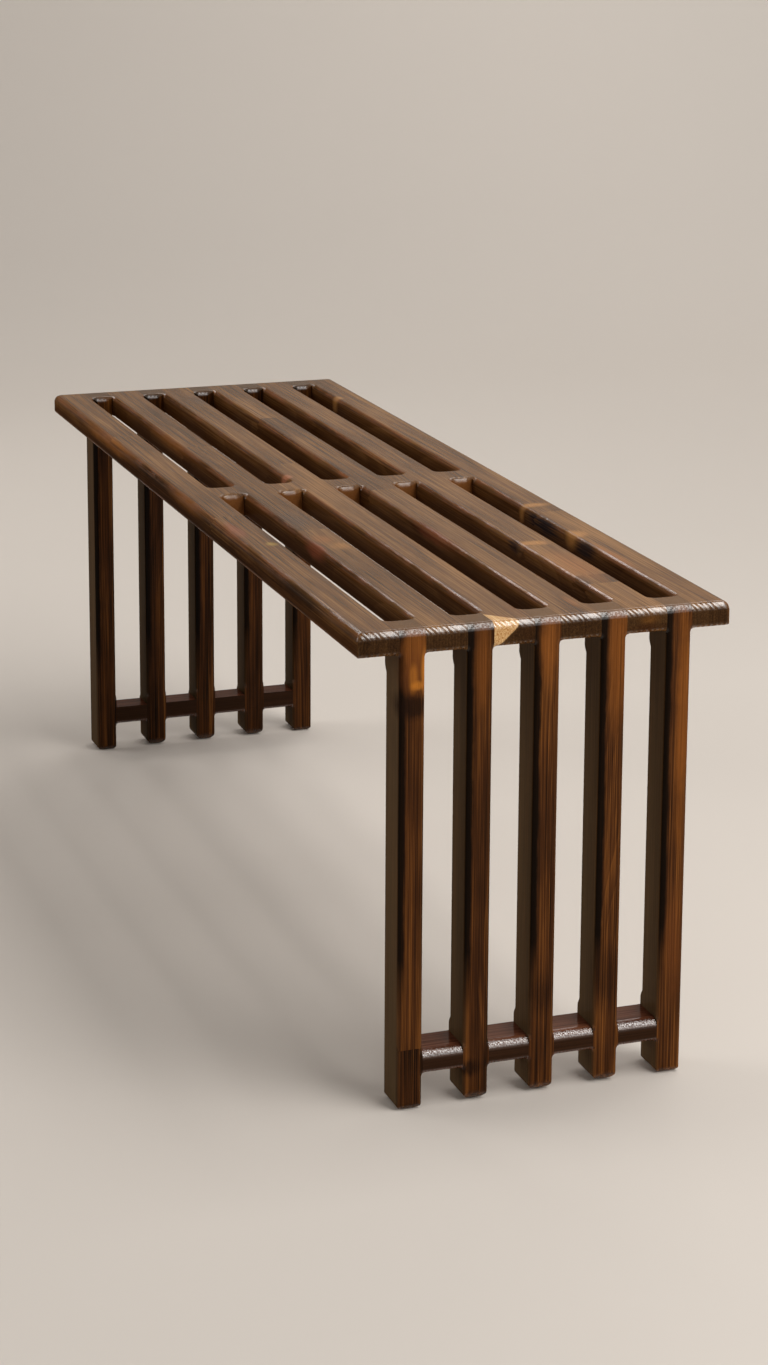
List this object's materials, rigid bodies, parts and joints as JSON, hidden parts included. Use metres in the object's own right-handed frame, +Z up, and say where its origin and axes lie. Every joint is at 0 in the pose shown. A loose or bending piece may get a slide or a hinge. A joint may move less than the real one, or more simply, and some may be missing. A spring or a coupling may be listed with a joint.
{
  "type": "slatted bench",
  "caption": "Low backless bench with long parallel slats, open legs in line with the slots at each end, and a low stretcher.",
  "frame": {"origin": "on the floor under the middle of the bench", "axes": "+Z up, +X along the seat towards the end that the picture shows nearest, +Y across the slats"},
  "size_m": [1.15, 0.359, 0.45],
  "materials": {
    "slat_wood": "walnut-stained softwood, satin lacquer",
    "leg_wood": "walnut-stained softwood, satin lacquer",
    "mid_block_wood": "walnut-stained softwood, satin lacquer",
    "stretcher_wood": "walnut-stained softwood, satin lacquer",
    "dowel_wood": "bare beech, glued"
  },
  "bodies": {
    "root": {"slat_1": "slat_wood", "slat_2": "slat_wood", "slat_3": "slat_wood", "slat_4": "slat_wood", "slat_5": "slat_wood", "slat_6": "slat_wood", "near_leg_1": "leg_wood", "near_leg_2": "leg_wood", "near_leg_3": "leg_wood", "near_leg_4": "leg_wood", "near_leg_5": "leg_wood", "far_leg_1": "leg_wood", "far_leg_2": "leg_wood", "far_leg_3": "leg_wood", "far_leg_4": "leg_wood", "far_leg_5": "leg_wood", "mid_block_1": "mid_block_wood", "mid_block_2": "mid_block_wood", "mid_block_3": "mid_block_wood", "mid_block_4": "mid_block_wood", "mid_block_5": "mid_block_wood", "near_stretcher_1": "stretcher_wood", "near_stretcher_2": "stretcher_wood", "near_stretcher_3": "stretcher_wood", "near_stretcher_4": "stretcher_wood", "far_stretcher_1": "stretcher_wood", "far_stretcher_2": "stretcher_wood", "far_stretcher_3": "stretcher_wood", "far_stretcher_4": "stretcher_wood", "near_seat_dowel_outer": "dowel_wood", "near_seat_dowel_inner": "dowel_wood", "near_stretcher_dowel": "dowel_wood", "far_seat_dowel_outer": "dowel_wood", "far_seat_dowel_inner": "dowel_wood", "far_stretcher_dowel": "dowel_wood", "mid_dowel_near": "dowel_wood", "mid_dowel_far": "dowel_wood"}
  },
  "joints": []
}
